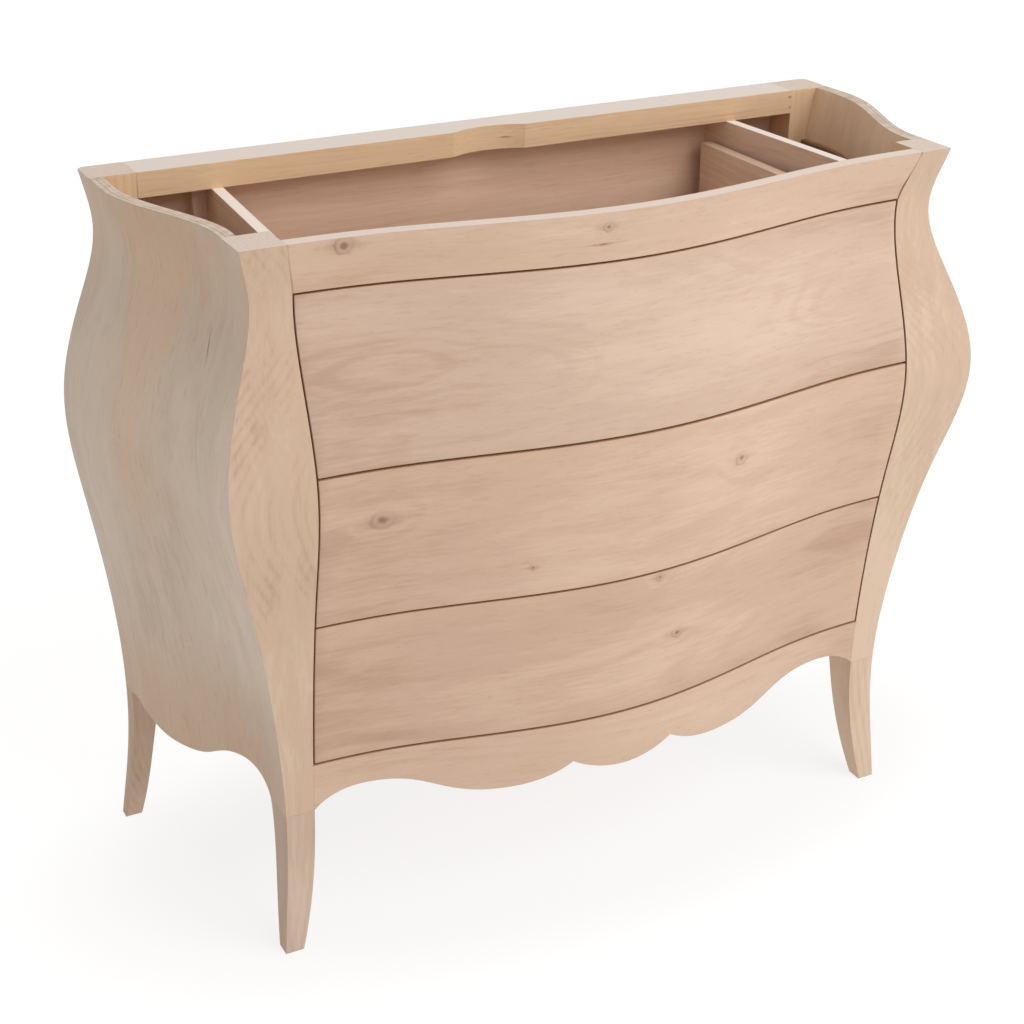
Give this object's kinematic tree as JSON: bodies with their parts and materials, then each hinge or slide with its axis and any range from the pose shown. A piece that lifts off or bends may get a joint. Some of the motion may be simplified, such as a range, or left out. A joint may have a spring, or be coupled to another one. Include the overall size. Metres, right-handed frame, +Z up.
{
  "type": "bombe chest of drawers",
  "caption": "Bombe chest of drawers in raw wood, with serpentine sliding drawers, swelling sides, a scalloped apron and cabriole legs, open at the top for its board.",
  "frame": {"origin": "on the floor, under the middle of the chest's outer box", "axes": "+X to the viewer's right along the front, -Y towards the viewer, +Z up"},
  "size_m": [1.0494, 0.4704, 0.85],
  "materials": {
    "solid_wood": "raw, sanded",
    "front_veneer": "raw, sanded",
    "side_veneer": "raw, sanded",
    "inner_wood": "raw, sawn",
    "plywood": "raw, plain"
  },
  "bodies": {
    "carcass": {"front_post_left": "solid_wood", "front_post_right": "solid_wood", "front_leg_left": "solid_wood", "front_leg_right": "solid_wood", "rear_post_left": "solid_wood", "rear_post_right": "solid_wood", "rear_leg_left": "solid_wood", "rear_leg_right": "solid_wood", "top_front_rail": "solid_wood", "top_rear_rail": "solid_wood", "front_apron": "solid_wood", "side_panel_left": "side_veneer", "side_panel_right": "side_veneer", "side_cleat_left": "inner_wood", "side_cleat_right": "inner_wood", "guide_panel_left": "inner_wood", "guide_panel_right": "inner_wood", "guide_cleat_left": "inner_wood", "guide_cleat_right": "inner_wood", "rear_bottom_rail": "inner_wood", "top_divider_rail": "inner_wood", "middle_divider_rail": "inner_wood", "top_runner_left": "inner_wood", "top_runner_right": "inner_wood", "middle_runner_left": "inner_wood", "middle_runner_right": "inner_wood", "bottom_runner_left": "inner_wood", "bottom_runner_right": "inner_wood", "back_panel": "plywood", "bottom_panel": "plywood"},
    "top_drawer": {"top_drawer_front": "front_veneer", "top_drawer_side_left": "inner_wood", "top_drawer_side_right": "inner_wood", "top_drawer_back": "inner_wood", "top_drawer_bottom": "plywood"},
    "middle_drawer": {"middle_drawer_front": "front_veneer", "middle_drawer_side_left": "inner_wood", "middle_drawer_side_right": "inner_wood", "middle_drawer_back": "inner_wood", "middle_drawer_bottom": "plywood"},
    "bottom_drawer": {"bottom_drawer_front": "front_veneer", "bottom_drawer_side_left": "inner_wood", "bottom_drawer_side_right": "inner_wood", "bottom_drawer_back": "inner_wood", "bottom_drawer_bottom": "plywood"}
  },
  "joints": [
    {"name": "top_drawer_slide", "type": "slide", "parent": "carcass", "child": "top_drawer", "axis": [0, -1, 0], "range_m": [0, 0.22]},
    {"name": "middle_drawer_slide", "type": "slide", "parent": "carcass", "child": "middle_drawer", "axis": [0, -1, 0], "range_m": [0, 0.22]},
    {"name": "bottom_drawer_slide", "type": "slide", "parent": "carcass", "child": "bottom_drawer", "axis": [0, -1, 0], "range_m": [0, 0.22]}
  ]
}
